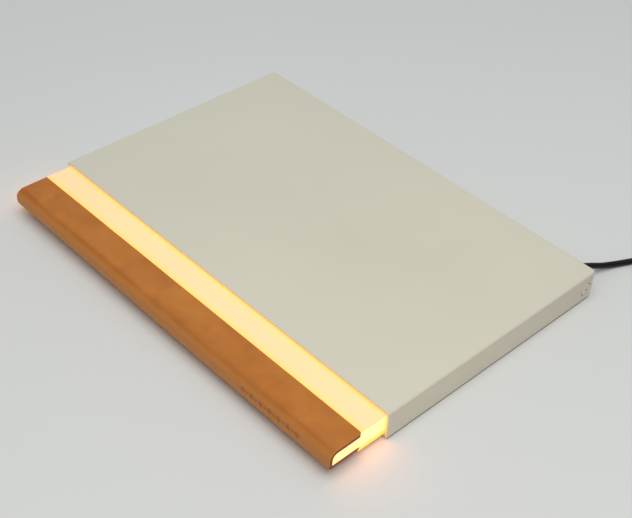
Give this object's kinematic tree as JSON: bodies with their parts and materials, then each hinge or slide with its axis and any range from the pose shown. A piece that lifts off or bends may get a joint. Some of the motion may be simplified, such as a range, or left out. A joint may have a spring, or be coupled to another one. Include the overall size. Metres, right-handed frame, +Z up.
{
  "type": "light box",
  "caption": "Flat book-shaped lamp: a leather-backed luminous block that slides out of a painted slipcase, brighter the further it is drawn.",
  "frame": {"origin": "middle of the object's footprint on the table, cord left out, with the light block drawn out 20 mm", "axes": "+X along the leather spine to its right end, +Y from the spine to the closed back of the case, +Z up"},
  "size_m": [0.364, 0.3357, 0.0203],
  "materials": {
    "case_paint": "fine satin powder coat, warm light grey",
    "plate_paint": "satin paint",
    "foot_rubber": "matte",
    "bright_steel": "satin",
    "felt": "pressed wool felt",
    "glide_plastic": "smooth",
    "black_plastic": "moulded",
    "magnet_nickel": "nickel plated",
    "board_green": "solder mask",
    "contact_copper": "bright copper alloy",
    "carbon_track": "printed carbon",
    "wire_red": "wire sleeve",
    "standoff_brass": "turned",
    "coil_winding": "enamelled wire",
    "capacitor_sleeve": "shrink sleeve",
    "terminal_green": "moulded",
    "cord_fitting": "soft moulded, black",
    "cord_sheath": "flexible satin sheath, black",
    "tie_fabric": "hook-and-loop strap",
    "opal_panel": "opal diffusing acrylic, satin, lit from inside",
    "clear_guide": "clear acrylic",
    "white_film": "white film",
    "bare_aluminium": "brushed",
    "lit_led": "phosphor, lit",
    "amber_tray": "translucent, dimly lit from inside",
    "tan_leather": "vegetable-tanned, waxed, burnished dark edges"
  },
  "bodies": {
    "case": {"top_shell": "case_paint", "bottom_plate": "plate_paint", "bay_wall": "plate_paint", "rubber_feet": "foot_rubber", "plate_screws": "bright_steel", "mouth_felt": "felt", "side_glides": "glide_plastic", "floor_glides": "glide_plastic", "travel_stops": "black_plastic", "rear_bumpers": "foot_rubber", "catch_magnets": "magnet_nickel", "track_strip": "board_green", "power_tracks": "contact_copper", "dimmer_track": "carbon_track", "track_leads": "wire_red", "driver_board": "board_green", "board_standoffs": "standoff_brass", "board_screws": "bright_steel", "driver_coil": "coil_winding", "driver_capacitors": "capacitor_sleeve", "driver_chips": "black_plastic", "terminal_block": "terminal_green", "button_guide": "black_plastic", "button_switch": "black_plastic", "button_spring": "bright_steel", "cord_gland": "cord_fitting", "inner_cord": "cord_sheath", "cord_boot": "cord_fitting", "power_cord": "cord_sheath", "cord_coil": "cord_sheath", "coil_tie": "tie_fabric", "plug_lead": "cord_sheath", "plug_body": "cord_fitting", "plug_shell": "bright_steel"},
    "light_block": {"diffuser": "opal_panel", "light_guide": "clear_guide", "reflector_sheet": "white_film", "heat_plate": "bare_aluminium", "led_boards": "white_film", "leds": "lit_led", "base_tray": "amber_tray", "rear_bar": "bare_aluminium", "bar_screws": "bright_steel", "block_magnets": "magnet_nickel", "brush_block": "black_plastic", "brushes": "contact_copper", "leather_spine": "tan_leather"},
    "button": {"button_cap": "case_paint"}
  },
  "joints": [
    {"name": "block_slide", "type": "slide", "parent": "case", "child": "light_block", "axis": [0, -1, 0], "range_m": [-0.019, 0.08]},
    {"name": "button_press", "type": "slide", "parent": "case", "child": "button", "axis": [-1, 0, 0], "range_m": [0, 0.001], "stiffness_N_per_m": 800, "springref_m": -0.0005, "deforming": ["button_spring"]}
  ]
}
